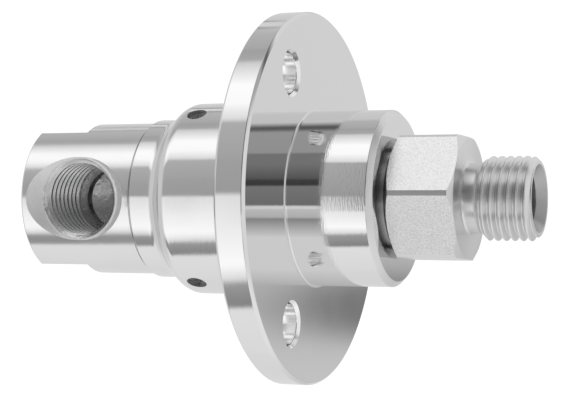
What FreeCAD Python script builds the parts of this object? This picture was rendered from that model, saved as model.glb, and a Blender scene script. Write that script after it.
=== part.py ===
"""Hydraulic rotary union with a side inlet, a mounting flange and a rotating threaded outlet.

The X axis is the axis of rotation and points at the outlet. The origin is the centre of the
flange's mounting face, the inlet port opens towards -Y, and +Z is up. All sizes are in millimetres.
"""
import FreeCAD, Part

import os
import re

import Sketcher

Vector = FreeCAD.Vector
Rotation = FreeCAD.Rotation

# Driving dimensions: name, value, meaning
SIZES = [
    ("flange_diameter", 60.0, "outside of the mounting flange"),
    ("flange_thickness", 5.0, "mounting flange, face to face"),
    ("flange_edge", 0.45, "bevel on both rims of the flange"),
    ("bolt_circle", 45.0, "pitch circle of the flange bolts"),
    ("bolt_count", 3, "flange bolts"),
    ("bolt_hole", 6.5, "clearance hole for an M6 bolt"),
    ("bolt_hole_bevel", 0.5, "bevel at both mouths of a bolt hole"),
    ("barrel_diameter", 28.1, "bearing barrel in front of the flange"),
    ("barrel_length", 13.85, "mounting face to the barrel's end face"),
    ("barrel_bevel", 0.85, "bevel at the barrel's end"),
    ("barrel_root", 0.35, "round between the barrel and the flange"),
    ("barrel_wall", 1.45, "end wall of the barrel"),
    ("hub_gap", 0.6, "radial gap between the shaft's hub and the hole in the end wall"),
    ("dust_pocket", 20.8, "pocket that holds the dust seal"),
    ("dust_seal_width", 2.0, "dust seal along the axis"),
    ("spigot_wall", 1.9, "wall of the flange's rear spigot round the bearing seat"),
    ("spigot_clearance", 1.4, "flange's rear spigot to the set screws"),
    ("housing_diameter", 31.4, "seal housing behind the flange"),
    ("housing_length", 14.6, "large diameter of the seal housing"),
    ("shoulder_length", 4.8, "curved shoulder between the housing's large diameter and its collar"),
    ("shoulder_round", 2.8, "round at the head and at the foot of that shoulder"),
    ("collar_step", 2.6, "radial step from the large diameter down to the collar"),
    ("collar_length", 3.0, "plain collar of the seal housing against the inlet head"),
    ("collar_edge", 0.15, "bevel at the collar's rear end"),
    ("head_diameter", 25.2, "inlet head"),
    ("head_length", 20.3, "inlet head outside the seal housing"),
    ("head_edge", 0.3, "bevel at the inlet end"),
    ("seam_width", 0.6, "turned relief in the inlet head next to the collar"),
    ("seam_depth", 0.5, "depth of that relief"),
    ("flats_across", 22.0, "wrench flats of the inlet head"),
    ("flats_length", 9.05, "wrench flats from the inlet end"),
    ("pocket_wall", 1.8, "wall of the head's front spigot round the seal pocket"),
    ("head_spigot_length", 12.4, "front spigot of the inlet head"),
    ("thread_major", 13.157, "G 1/4 pipe thread over its crests"),
    ("thread_depth", 0.856, "G 1/4 pipe thread, crest to root"),
    ("thread_pitch", 1.337, "19 threads to the inch"),
    ("thread_flat", 0.22, "flat at crests and roots"),
    ("port_offset", 9.95, "inlet end to the axis of the inlet port"),
    ("port_thread", 12.0, "threaded depth of the inlet port"),
    ("port_thread_start", 10.6, "mouth of the port's thread from the main axis"),
    ("port_land", 0.3, "flat land between the port's thread and its countersink"),
    ("port_countersink", 3.0, "90 degree countersink outside the land"),
    ("port_drill_cut", 0.18, "how far the port's tapping drill cuts its thread's crests back"),
    ("port_pilot", 10.0, "pilot bore under the thread"),
    ("port_pilot_depth", 1.6, "pilot bore below the thread"),
    ("port_tip", 2.6, "cone at the bottom of the pilot bore"),
    ("waterway", 8.0, "fluid passage through head and shaft"),
    ("nose_step", 0.5, "radial step from the bearing journal down to the sealed nose"),
    ("nose_end_gap", 0.3, "end of the nose to the bottom of its guide bore"),
    ("nose_round", 0.5, "bevel on the nose that opens the seal"),
    ("nose_bore_depth", 2.3, "bore in the head that guides the nose, below the seal pocket"),
    ("seal_pocket", 17.0, "seal pocket in the head's spigot"),
    ("cup_width", 2.9, "pressure seal along the axis"),
    ("backup_width", 0.9, "backup ring along the axis"),
    ("washer_width", 0.8, "seal washer along the axis"),
    ("clip_width", 1.0, "retaining rings along the axis"),
    ("clip_depth", 0.6, "grooves of the retaining rings"),
    ("clip_band", 1.9, "radial width of the retaining rings"),
    ("clip_gap", 4.0, "opening of the retaining rings"),
    ("bearing_bore", 12.0, "thin-section ball bearing 61901"),
    ("bearing_outside", 24.0, "thin-section ball bearing 61901"),
    ("bearing_width", 6.0, "thin-section ball bearing 61901"),
    ("ball_diameter", 3.5, "bearing balls"),
    ("ball_count", 11, "balls in each bearing"),
    ("track_depth", 0.45, "ball track below the shoulder of a ring"),
    ("cage_band", 1.2, "ball cage, radial thickness"),
    ("cage_width", 5.2, "ball cage"),
    ("bearing_rear", 9.0, "rear face of the rear bearing behind the mounting face"),
    ("hub_diameter", 14.8, "shaft hub between the front bearing and the hexagon"),
    ("hex_gap", 0.75, "barrel's end face to the hexagon"),
    ("hex_across", 19.0, "hexagon across flats"),
    ("hex_corners", 21.48, "hexagon over its turned corners"),
    ("hex_length", 10.8, "hexagon along the axis"),
    ("hex_turn", 4.5, "degrees that a corner stands above -Y at rest"),
    ("hex_bevel", 0.72, "end bevel of the hexagon along the axis"),
    ("neck_diameter", 10.9, "relief between the hexagon and the outlet thread"),
    ("neck_length", 2.2, "relief between the hexagon and the outlet thread"),
    ("neck_round", 0.5, "round at the neck's foot"),
    ("outlet_length", 11.0, "hexagon's front face to the outlet's end face"),
    ("outlet_bevel", 0.75, "bevel at the outlet's end"),
    ("outlet_lip", 0.55, "radial width of the outlet's end face"),
    ("cone_depth", 1.5, "seat cone in the outlet's mouth"),
    ("screw_diameter", 4.0, "set screws that lock the inlet head"),
    ("screw_count", 3, "set screws"),
    ("screw_inset", 1.8, "set screws from the rear end of the housing's large diameter"),
    ("screw_sink", 0.6, "set screw heads below the housing's surface"),
    ("screw_socket", 2.0, "hexagon socket across flats"),
    ("screw_socket_depth", 1.8, "hexagon socket"),
    ("screw_tip", 0.9, "cone at the end of a set screw"),
    ("oring_section", 0.96, "section of both O-rings"),
    ("oring_groove_width", 1.4, "O-ring grooves along the axis"),
    ("head_oring_inset", 2.6, "O-ring on the head's spigot from the head's shoulder"),
    ("flange_oring_inset", 2.3, "O-ring on the flange's spigot from the spigot's end"),
    ("seat_gap", 0.02, "radial clearance of seated pieces"),
    ("run_gap", 0.05, "radial clearance of running pieces"),
]

# Stations along the axis, each worked out from the driving dimensions
FLANGE_REAR = "-flange_thickness"
HOUSING_REAR = "-flange_thickness - housing_length"
SHOULDER_REAR = f"{HOUSING_REAR} - shoulder_length"
SEAM = f"{SHOULDER_REAR} - collar_length"
INLET_END = f"{SEAM} - head_length"
HEAD_FRONT = f"{SEAM} + head_spigot_length"
SCREWS = f"{HOUSING_REAR} + screw_inset"
SPIGOT_REAR = f"{SCREWS} + screw_diameter/2 + spigot_clearance"
BARREL_WALL = "barrel_length - barrel_wall"
FRONT_BEARING = "barrel_length - barrel_wall - dust_seal_width - bearing_width"
REAR_BEARING = "-bearing_rear"
HEX_REAR = "barrel_length + hex_gap"
HEX_FRONT = f"{HEX_REAR} + hex_length"
THREAD_REAR = f"{HEX_FRONT} + neck_length"
OUTLET_END = f"{HEX_FRONT} + outlet_length"
CLIP_REAR = f"{HEAD_FRONT} - clip_width - clip_depth"
WASHER_REAR = f"{CLIP_REAR} - washer_width"
BACKUP_REAR = f"{WASHER_REAR} - backup_width"
CUP_REAR = f"{BACKUP_REAR} - cup_width"
NOSE_BORE_END = f"{CUP_REAR} - nose_bore_depth"
NOSE_END = f"{NOSE_BORE_END} + nose_end_gap"
HEAD_ORING = f"{SEAM} + head_oring_inset"
FLANGE_ORING = f"{SPIGOT_REAR} + flange_oring_inset"

# Radii that pieces share, each worked out from the driving dimensions
SPIGOT = "(bearing_outside/2 + spigot_wall)"
HEAD_SPIGOT = "(seal_pocket/2 + pocket_wall)"
COLLAR = "(housing_diameter/2 - collar_step)"
NOSE = "(bearing_bore/2 - nose_step)"
BARREL_MOUTH = "(hub_diameter/2 + hub_gap)"
THREAD_ROOT = "(thread_major/2 - thread_depth)"
PORT_CREST = f"({THREAD_ROOT} + port_drill_cut)"
PITCH = "((bearing_bore + bearing_outside)/4)"
TRACK = "(ball_diameter/2 + run_gap)"
INNER_SHOULDER = f"({PITCH} - {TRACK} + track_depth)"
OUTER_SHOULDER = f"({PITCH} + {TRACK} - track_depth)"
ORING_GROOVE = "(oring_section + 2*seat_gap)"

PIECES = []
doc = FreeCAD.newDocument("RotaryUnion")
sheet = doc.addObject("Spreadsheet::Sheet", "Sizes")


def fill_sheet():
    """Write every driving dimension into the sheet, with its name as the alias."""
    for row, (name, value, meaning) in enumerate(SIZES, start=1):
        sheet.set(f"A{row}", name)
        sheet.set(f"B{row}", str(value))
        sheet.setAlias(f"B{row}", name)
        sheet.set(f"C{row}", meaning)
    doc.recompute()


NAMES = {name for name, value, meaning in SIZES}


def bound(formula):
    """A formula in size names as an expression that reads the sheet."""
    return re.sub(r"[a-z_]+", lambda m: f"Sizes.{m[0]}" if m[0] in NAMES else m[0], formula)


def bind(thing, **formulas):
    """Tie properties of a document object to the sheet. A double underscore stands for a dot."""
    for name, formula in formulas.items():
        thing.setExpression(name.replace("__", "."), bound(formula))


def count(name):
    """A whole number from the sheet."""
    return int(sheet.get(name))


def piece(thing, label):
    """Name a finished piece and put it on the list of files to write."""
    thing.Label = label
    PIECES.append(thing)
    return thing


def corner(x, r, radius, start, end):
    """An arc round (x, r) between two angles in degrees: its start, a point on it and its end."""
    def spot(angle):
        return f"{x} + ({radius})*cos({angle})", f"{r} + ({radius})*sin({angle})"
    return [spot(start), spot((start + end)/2) + ("on arc",), spot(end)]


def rectangle(rear, front, inner, outer):
    """The outline of a plain ring between two stations and two radii."""
    return [(rear, inner), (front, inner), (front, outer), (rear, outer)]


def origin_plane(body, role):
    """One of a body's own origin planes."""
    return next(f for f in body.Origin.OriginFeatures if f.Role == role)


def outline_sketch(body, name, outline):
    """A closed sketch of lines and arcs through points that the sheet places."""
    sketch = body.newObject("Sketcher::SketchObject", name)
    sketch.AttachmentSupport = [(origin_plane(body, "XY_Plane"), "")]
    sketch.MapMode = "FlatFace"
    for place, (x, r, *_) in enumerate(outline):
        sketch.addGeometry(Part.Point(Vector(0, 0, 0)), True)
        for kind, formula in (("DistanceX", x), ("DistanceY", r)):
            index = sketch.addConstraint(Sketcher.Constraint(kind, -1, 1, place, 1, 1.0))
            sketch.setExpression(f"Constraints[{index}]", bound(formula))
    doc.recompute()
    total = len(outline)
    points = [sketch.getPoint(place, 1) for place in range(total)]
    place = 0
    while place < total:
        middle = place + 1 if len(outline[(place + 1) % total]) == 3 else None
        end = (place + (2 if middle else 1)) % total
        if middle:
            edge = sketch.addGeometry(Part.Arc(points[place], points[middle], points[end]))
            ends = (1, 2) if (sketch.getPoint(edge, 1) - points[place]).Length < 1e-6 else (2, 1)
            sketch.addConstraint(Sketcher.Constraint("PointOnObject", middle, 1, edge))
        else:
            edge = sketch.addGeometry(Part.LineSegment(points[place], points[end]))
            ends = (1, 2)
        sketch.addConstraint(Sketcher.Constraint("Coincident", edge, ends[0], place, 1))
        sketch.addConstraint(Sketcher.Constraint("Coincident", edge, ends[1], end, 1))
        place += 2 if middle else 1
    return sketch


def turned(name, outline):
    """A body turned about its own X axis from an outline of (x, radius) formulas."""
    body = doc.addObject("PartDesign::Body", name)
    sketch = outline_sketch(body, name + "_outline", outline)
    lathe = body.newObject("PartDesign::Revolution", name + "_turning")
    lathe.Profile = sketch
    lathe.ReferenceAxis = (sketch, ["H_Axis"])
    lathe.Angle = 360
    doc.recompute()
    return body


def place_along(thing, direction_turn, about_axis=0, **base):
    """Turn a body's X axis by an angle about Z, then about X, and move it to bound coordinates."""
    turn = Rotation(Vector(1, 0, 0), about_axis) * Rotation(Vector(0, 0, 1), direction_turn)
    thing.Placement = FreeCAD.Placement(Vector(0, 0, 0), turn)
    bind(thing, **{f"Placement__Base__{axis}": formula for axis, formula in base.items()})


def cut(name, base, tool):
    """One shape less another."""
    result = doc.addObject("Part::Cut", name)
    result.Base = base
    result.Tool = tool
    return result


def joined(name, shapes):
    """Several shapes as one solid."""
    result = doc.addObject("Part::MultiFuse", name)
    result.Shapes = shapes
    return result


def group(name, shapes):
    """Several separate solids as one object."""
    result = doc.addObject("Part::Compound", name)
    result.Links = shapes
    return result


def hexagon(name, across, length, rear, turn=0.0):
    """A hexagonal bar along X with a corner at -Y, turned by an angle about its axis."""
    bar = doc.addObject("Part::Prism", name)
    bar.Polygon = 6
    corner_to_y = Rotation(Vector(1, 0, 0), -turn) * Rotation(Vector(0, 1, 0), 90)
    bar.Placement = FreeCAD.Placement(Vector(0, 0, 0), corner_to_y * Rotation(Vector(0, 0, 1), 90))
    bind(bar, Circumradius=f"({across})/2/cos(30)", Height=length, Placement__Base__x=rear)
    return bar


def helical(body, name, kind, start, run):
    """Cut the thread's groove into a bar of its major size, or add its ridge to a thinner bar."""
    over = "0.05*thread_pitch"
    wide = f"(thread_pitch - thread_flat + {over})/2"
    narrow = "thread_flat/2"
    crest, root = "thread_major/2", THREAD_ROOT
    if kind == "SubtractiveHelix":
        wide_radius, narrow_radius = f"{crest} + {over}", root
    else:
        wide_radius, narrow_radius = f"{root} - {over}", crest
    sketch = outline_sketch(body, name + "_form", [
        (f"{start} - {wide}", wide_radius),
        (f"{start} + {wide}", wide_radius),
        (f"{start} + {narrow}", narrow_radius),
        (f"{start} - {narrow}", narrow_radius),
    ])
    thread = body.newObject("PartDesign::" + kind, name)
    thread.Profile = sketch
    thread.ReferenceAxis = (sketch, ["H_Axis"])
    thread.Mode = 0
    bind(thread, Pitch="thread_pitch", Height=run)
    doc.recompute()


# Inlet head

def port_cutter():
    """The shape that the inlet port takes out of the head, along its own X axis."""
    thread_end = "port_thread - port_thread_start"
    pilot_end = f"{thread_end} + port_pilot_depth"
    body = turned("port_core", [
        ("-port_thread_start - port_countersink", "0"),
        (f"{pilot_end} + port_tip", "0"),
        (pilot_end, "port_pilot/2"),
        (thread_end, "port_pilot/2"),
        (thread_end, PORT_CREST),
        ("-port_thread_start + thread_depth - port_drill_cut", PORT_CREST),
        ("-port_thread_start", "thread_major/2"),
        ("-port_thread_start", "thread_major/2 + port_land"),
        ("-port_thread_start - port_countersink", "thread_major/2 + port_land + port_countersink"),
    ])
    helical(body, "port_thread_ridge", "AdditiveHelix", "-port_thread_start - thread_pitch/2",
            "port_thread")
    return body


def inlet_head():
    """The fixed head: wrench flats, side port, waterway, and a spigot that holds the seals."""
    guide = f"{NOSE} + 3*run_gap"
    oring = "oring_groove_width/2"
    blank = turned("head_blank", [
        (INLET_END, "0"),
        (NOSE_BORE_END, "0"),
        (NOSE_BORE_END, guide),
        (CUP_REAR, guide),
        (CUP_REAR, "seal_pocket/2"),
        (CLIP_REAR, "seal_pocket/2"),
        (CLIP_REAR, "seal_pocket/2 + clip_depth"),
        (f"{CLIP_REAR} + clip_width", "seal_pocket/2 + clip_depth"),
        (f"{CLIP_REAR} + clip_width", "seal_pocket/2"),
        (HEAD_FRONT, "seal_pocket/2"),
        (HEAD_FRONT, HEAD_SPIGOT),
        (f"{SCREWS} + screw_tip", HEAD_SPIGOT),
        (SCREWS, f"{HEAD_SPIGOT} - screw_tip"),
        (f"{SCREWS} - screw_tip", HEAD_SPIGOT),
        (f"{HEAD_ORING} + {oring}", HEAD_SPIGOT),
        (f"{HEAD_ORING} + {oring}", f"{HEAD_SPIGOT} - {ORING_GROOVE}"),
        (f"{HEAD_ORING} - {oring}", f"{HEAD_SPIGOT} - {ORING_GROOVE}"),
        (f"{HEAD_ORING} - {oring}", HEAD_SPIGOT),
        (SEAM, HEAD_SPIGOT),
        (SEAM, "head_diameter/2 - seam_depth"),
        (f"{SEAM} - seam_width", "head_diameter/2 - seam_depth"),
        (f"{SEAM} - seam_width", "head_diameter/2"),
        (f"{INLET_END} + head_edge", "head_diameter/2"),
        (INLET_END, "head_diameter/2 - head_edge"),
    ])
    port = port_cutter()
    place_along(port, 90, x=f"{INLET_END} + port_offset")
    waterway = doc.addObject("Part::Cylinder", "waterway_bore")
    waterway.Placement = FreeCAD.Placement(Vector(0, 0, 0), Rotation(Vector(0, 1, 0), 90))
    bind(waterway, Radius="waterway/2", Placement__Base__x=f"{INLET_END} + port_offset",
         Height=f"{NOSE_BORE_END} - ({INLET_END}) - port_offset + 1")
    flats = []
    for side in (1, -1):
        slab = doc.addObject("Part::Box", "flat_slab")
        bind(slab, Length="flats_length + 1", Width="head_diameter", Height="head_diameter",
             Placement__Base__x=f"{INLET_END} - 1", Placement__Base__y="-head_diameter/2",
             Placement__Base__z="flats_across/2" if side > 0 else "-flats_across/2 - head_diameter")
        flats.append(slab)
    tools = joined("head_cuts", [port, waterway] + flats)
    piece(cut("inlet_head_cut", blank, tools), "inlet_head")


# Seal housing and its set screws

def seal_housing():
    """The fixed housing behind the flange, with a curved shoulder, a collar and screw holes."""
    bore = f"{HEAD_SPIGOT} + seat_gap"
    counterbore = f"{SPIGOT} + seat_gap"
    blank = turned("housing_blank", [
        (SEAM, bore),
        (SPIGOT_REAR, bore),
        (SPIGOT_REAR, counterbore),
        (FLANGE_REAR, counterbore),
        (FLANGE_REAR, "housing_diameter/2"),
        *corner(HOUSING_REAR, "housing_diameter/2 - shoulder_round", "shoulder_round", 90, 140),
        *corner(SHOULDER_REAR, f"{COLLAR} + shoulder_round", "shoulder_round", 320, 270),
        (f"{SEAM} + collar_edge", COLLAR),
        (SEAM, f"{COLLAR} - collar_edge"),
    ])
    drill = [(f"{bore} - 1", "0"), ("housing_diameter/2 + 1", "0"),
             ("housing_diameter/2 + 1", "screw_diameter/2"), (f"{bore} - 1", "screw_diameter/2")]
    drills = []
    for number in range(count("screw_count")):
        hole = turned(f"screw_hole_{number + 1}", drill)
        place_along(hole, -90, screw_angle(number), x=SCREWS)
        drills.append(hole)
    piece(cut("seal_housing_cut", blank, joined("screw_holes", drills)), "seal_housing")


def screw_angle(number):
    """The angle about X from -Y to one of the set screws, which stand between the flange bolts."""
    return 180 + 360/count("screw_count")*number


def set_screws():
    """Cone-point set screws that lock the inlet head in the seal housing."""
    head = "housing_diameter/2 - screw_sink"
    tip = f"{HEAD_SPIGOT} - screw_tip + 4*seat_gap"
    radius = "screw_diameter/2 - seat_gap"
    screws = []
    for number in range(count("screw_count")):
        shank = turned(f"screw_shank_{number + 1}", [
            (tip, "0"),
            (head, "0"),
            (head, f"{radius} - 3*seat_gap"),
            (f"{head} - 3*seat_gap", radius),
            (f"{tip} + {radius}", radius),
        ])
        socket = hexagon(f"screw_socket_{number + 1}", "screw_socket", "screw_socket_depth + 1",
                         f"{head} - screw_socket_depth")
        screw = cut(f"screw_{number + 1}", shank, socket)
        place_along(screw, -90, screw_angle(number), x=SCREWS)
        screws.append(screw)
    piece(group("screw_set", screws), "set_screws")


# Mounting flange with the bearing barrel

def bolt_holes():
    """Three through holes in the flange, bevelled at both mouths."""
    radius = "bolt_hole/2"
    wide = "bolt_hole/2 + bolt_hole_bevel + 1"
    outline = [
        ("-flange_thickness - 1", "0"), ("1", "0"), ("1", wide), ("-bolt_hole_bevel", radius),
        ("-flange_thickness + bolt_hole_bevel", radius), ("-flange_thickness - 1", wide),
    ]
    holes = []
    for number in range(count("bolt_count")):
        angle = 180 + 360/count("bolt_count")*number
        hole = turned(f"bolt_hole_{number + 1}", outline)
        bind(hole, Placement__Base__y=f"-bolt_circle/2*cos({angle})",
             Placement__Base__z=f"bolt_circle/2*sin({angle})")
        holes.append(hole)
    return joined("bolt_holes", holes)


def mounting_flange():
    """The bolted flange in one piece with the bearing barrel and its rear spigot."""
    edge = "flange_diameter/2 - flange_edge"
    seat = "bearing_outside/2 + seat_gap"
    clip_front = REAR_BEARING
    oring = "oring_groove_width/2"
    blank = turned("flange_blank", [
        (SPIGOT_REAR, seat),
        (f"{clip_front} - clip_width", seat),
        (f"{clip_front} - clip_width", f"{seat} + clip_depth"),
        (clip_front, f"{seat} + clip_depth"),
        (clip_front, seat),
        (f"{FRONT_BEARING} + bearing_width", seat),
        (f"{FRONT_BEARING} + bearing_width", "dust_pocket/2"),
        (BARREL_WALL, "dust_pocket/2"),
        (BARREL_WALL, BARREL_MOUTH),
        ("barrel_length", BARREL_MOUTH),
        ("barrel_length", "barrel_diameter/2 - barrel_bevel"),
        ("barrel_length - barrel_bevel", "barrel_diameter/2"),
        *corner("barrel_root", "barrel_diameter/2 + barrel_root", "barrel_root", 270, 180),
        ("0", edge),
        ("-flange_edge", "flange_diameter/2"),
        (f"{FLANGE_REAR} + flange_edge", "flange_diameter/2"),
        (FLANGE_REAR, edge),
        (FLANGE_REAR, SPIGOT),
        (f"{FLANGE_ORING} + {oring}", SPIGOT),
        (f"{FLANGE_ORING} + {oring}", f"{SPIGOT} - {ORING_GROOVE}"),
        (f"{FLANGE_ORING} - {oring}", f"{SPIGOT} - {ORING_GROOVE}"),
        (f"{FLANGE_ORING} - {oring}", SPIGOT),
        (SPIGOT_REAR, SPIGOT),
    ])
    piece(cut("mounting_flange_cut", blank, bolt_holes()), "mounting_flange")


# Rotating shaft

def output_shaft():
    """The rotating shaft: nose, bearing journal, hub, hexagon and male outlet thread."""
    crest = "thread_major/2"
    journal = "bearing_bore/2 - seat_gap"
    clip_front = REAR_BEARING
    cone = f"{crest} - outlet_bevel - outlet_lip"
    rod = turned("shaft_blank", [
        (NOSE_END, "waterway/2"),
        (f"{OUTLET_END} - cone_depth", "waterway/2"),
        (OUTLET_END, cone),
        (OUTLET_END, f"{crest} - outlet_bevel"),
        (f"{OUTLET_END} - outlet_bevel", crest),
        (f"{THREAD_REAR} + {crest} - neck_diameter/2", crest),
        (THREAD_REAR, "neck_diameter/2"),
        *corner(f"{HEX_FRONT} + neck_round", "neck_diameter/2 + neck_round", "neck_round", 270, 180),
        (f"{HEX_REAR} + hex_length/2", "neck_diameter/2 + neck_round"),
        (f"{HEX_REAR} + hex_length/2", "hub_diameter/2"),
        (f"{FRONT_BEARING} + bearing_width", "hub_diameter/2"),
        (f"{FRONT_BEARING} + bearing_width", journal),
        (clip_front, journal),
        (clip_front, f"{journal} - clip_depth"),
        (f"{clip_front} - clip_width", f"{journal} - clip_depth"),
        (f"{clip_front} - clip_width", journal),
        (f"{clip_front} - 2*clip_width", journal),
        (f"{clip_front} - 2*clip_width", NOSE),
        (f"{NOSE_END} + nose_round", NOSE),
        (NOSE_END, f"{NOSE} - nose_round"),
    ])
    helical(rod, "outlet_thread_groove", "SubtractiveHelix", f"{THREAD_REAR} - thread_pitch/2",
            "outlet_length - neck_length + 1.5*thread_pitch")
    bar = hexagon("hex_bar", "hex_across", "hex_length", HEX_REAR, turn=sheet.get("hex_turn"))
    envelope = turned("hex_envelope", [
        (HEX_REAR, "waterway/2"),
        (HEX_FRONT, "waterway/2"),
        (HEX_FRONT, "hex_across/2"),
        (f"{HEX_FRONT} - hex_bevel", "hex_corners/2"),
        (f"{HEX_REAR} + hex_bevel", "hex_corners/2"),
        (HEX_REAR, "hex_across/2"),
    ])
    hexagonal = doc.addObject("Part::Common", "hex_collar")
    hexagonal.Base = bar
    hexagonal.Tool = envelope
    piece(joined("output_shaft_joined", [rod, hexagonal]), "output_shaft")


# Ball bearings and what holds them

def ball_ring(name, middle, radius):
    """A ring of separate balls round the axis at one station."""
    balls = []
    total = count("ball_count")
    for number in range(total):
        ball = doc.addObject("Part::Sphere", f"{name}_{number + 1}")
        angle = 360/total*number
        bind(ball, Radius=radius, Placement__Base__x=middle,
             Placement__Base__y=f"-{PITCH}*cos({angle})",
             Placement__Base__z=f"{PITCH}*sin({angle})")
        balls.append(ball)
    return group(name, balls)


def race(rear, middle, seat, shoulder, bulge):
    """The outline of a bearing ring between its seat and a shoulder with a ball track."""
    half = f"sqrt({TRACK}^2 - ({PITCH} - {shoulder})^2)"
    return [
        (rear, seat),
        (f"{rear} + bearing_width", seat),
        (f"{rear} + bearing_width", shoulder),
        (f"{middle} + {half}", shoulder),
        (middle, f"{PITCH} + ({bulge})*{TRACK}", "on arc"),
        (f"{middle} - {half}", shoulder),
        (rear, shoulder),
    ]


def ball_bearing(side, rear):
    """One ball bearing as its two rings, its cage and its balls."""
    middle = f"{rear} + bearing_width/2"
    piece(turned(f"{side}_outer", race(rear, middle, "bearing_outside/2", OUTER_SHOULDER, 1)),
          f"{side}_bearing_outer_ring")
    piece(turned(f"{side}_inner", race(rear, middle, "bearing_bore/2", INNER_SHOULDER, -1)),
          f"{side}_bearing_inner_ring")
    piece(ball_ring(f"{side}_balls", middle, "ball_diameter/2"), f"{side}_bearing_balls")
    ring = turned(f"{side}_cage_ring", rectangle(
        f"{middle} - cage_width/2", f"{middle} + cage_width/2",
        f"{PITCH} - cage_band/2", f"{PITCH} + cage_band/2"))
    pockets = ball_ring(f"{side}_pockets", middle, TRACK)
    piece(cut(f"{side}_cage", ring, pockets), f"{side}_bearing_cage")


def spacers():
    """Sleeves that keep the two bearings apart, one on the shaft and one in the barrel."""
    rear = f"{REAR_BEARING} + bearing_width"
    piece(turned("inner_sleeve", rectangle(rear, FRONT_BEARING, "bearing_bore/2",
                                           f"{INNER_SHOULDER} - 4*run_gap")), "inner_spacer")
    piece(turned("outer_sleeve", rectangle(rear, FRONT_BEARING, f"{OUTER_SHOULDER} + 4*run_gap",
                                           "bearing_outside/2")), "outer_spacer")


def retaining_ring(name, label, rear, inner, outer, opening):
    """An open spring ring in its groove, with its gap on the -Z or +Z side."""
    ring = turned(name + "_ring", rectangle(rear, f"{rear} + clip_width", inner, outer))
    gap = doc.addObject("Part::Box", name + "_gap")
    bind(gap, Length="clip_width + 2", Width="clip_gap", Height=f"{outer} + 1",
         Placement__Base__x=f"{rear} - 1", Placement__Base__y="-clip_gap/2",
         Placement__Base__z=opening)
    piece(cut(name, ring, gap), label)


def retaining_rings():
    """Three retaining rings: in the barrel, on the shaft and in front of the seals."""
    rear = f"{REAR_BEARING} - clip_width"
    groove = "bearing_outside/2 + clip_depth"
    retaining_ring("barrel_clip", "bearing_retaining_ring", rear, f"{groove} - clip_band", groove,
                   "0")
    journal = "bearing_bore/2 - clip_depth"
    retaining_ring("shaft_clip", "shaft_retaining_ring", rear, journal, f"{journal} + clip_band",
                   f"-({journal} + clip_band) - 1")
    groove = "seal_pocket/2 + clip_depth - seat_gap"
    retaining_ring("seal_clip", "seal_retaining_ring", CLIP_REAR, f"{groove} - clip_band", groove,
                   "0")


# Seals

def pressure_seal():
    """A lip seal on the shaft's nose, open towards the pressure, with its energiser ring."""
    inner = f"{NOSE} + run_gap"
    outer = "seal_pocket/2 - seat_gap"
    middle = f"({inner} + {outer})/2"
    notch = "oring_section*0.6"
    piece(turned("lip_seal", [
        (f"{CUP_REAR} + 0.2*cup_width", inner),
        (BACKUP_REAR, inner),
        (BACKUP_REAR, outer),
        (f"{CUP_REAR} + 0.2*cup_width", outer),
        (CUP_REAR, f"{outer} - 0.2*oring_section"),
        (CUP_REAR, f"{middle} + {notch}"),
        (f"{CUP_REAR} + 0.25*cup_width", f"{middle} + {notch}"),
        (f"{CUP_REAR} + 0.25*cup_width + {notch}", middle, "on arc"),
        (f"{CUP_REAR} + 0.25*cup_width", f"{middle} - {notch}"),
        (CUP_REAR, f"{middle} - {notch}"),
        (CUP_REAR, f"{inner} + 0.2*oring_section"),
    ]), "pressure_seal")
    torus("energiser", "seal_energiser", middle, f"{CUP_REAR} + 0.25*cup_width")


def torus(name, label, radius, station):
    """An O-ring round the axis."""
    ring = doc.addObject("Part::Torus", name)
    ring.Placement = FreeCAD.Placement(Vector(0, 0, 0), Rotation(Vector(0, 1, 0), 90))
    bind(ring, Radius1=radius, Radius2="oring_section/2", Placement__Base__x=station)
    piece(ring, label)


def seal_stack():
    """What keeps the fluid in and the dust out."""
    pressure_seal()
    outer = "seal_pocket/2 - seat_gap"
    piece(turned("backup", rectangle(BACKUP_REAR, WASHER_REAR, f"{NOSE} + run_gap", outer)),
          "backup_ring")
    piece(turned("washer", rectangle(WASHER_REAR, CLIP_REAR, f"{NOSE} + 4*run_gap", outer)),
          "seal_washer")
    torus("head_oring", "head_o_ring", f"{HEAD_SPIGOT} - {ORING_GROOVE}/2", HEAD_ORING)
    torus("flange_oring", "flange_o_ring", f"{SPIGOT} - {ORING_GROOVE}/2", FLANGE_ORING)
    lip = f"{BARREL_WALL} - dust_seal_width"
    piece(turned("dust_lip", [
        (lip, "hub_diameter/2 + 0.35*dust_seal_width"),
        (f"{lip} + 0.6*dust_seal_width", "hub_diameter/2 + 0.35*dust_seal_width"),
        (f"{lip} + 0.6*dust_seal_width", "hub_diameter/2 + 4*run_gap"),
        (f"{BARREL_WALL} - 0.1*dust_seal_width", "hub_diameter/2 + run_gap"),
        (BARREL_WALL, "hub_diameter/2 + run_gap"),
        (BARREL_WALL, "dust_pocket/2 - seat_gap"),
        (lip, "dust_pocket/2 - seat_gap"),
    ]), "dust_seal")


def check_document():
    """Stop if any object failed, or if a piece has no valid shape."""
    for thing in doc.Objects:
        if "Invalid" in thing.State or "Error" in thing.State:
            raise RuntimeError(f"{thing.Label} failed: {thing.State}")
    for thing in PIECES:
        if thing.Shape.isNull() or not thing.Shape.isValid():
            raise RuntimeError(f"{thing.Label} has no valid shape")


fill_sheet()
inlet_head()
seal_housing()
set_screws()
mounting_flange()
output_shaft()
ball_bearing("front", FRONT_BEARING)
ball_bearing("rear", REAR_BEARING)
spacers()
retaining_rings()
seal_stack()
doc.recompute()
check_document()
os.makedirs("parts", exist_ok=True)
for thing in PIECES:
    thing.Shape.exportStep(f"parts/{thing.Label}.step")
    print(thing.Label, len(thing.Shape.Solids), round(thing.Shape.Volume, 2))
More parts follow.
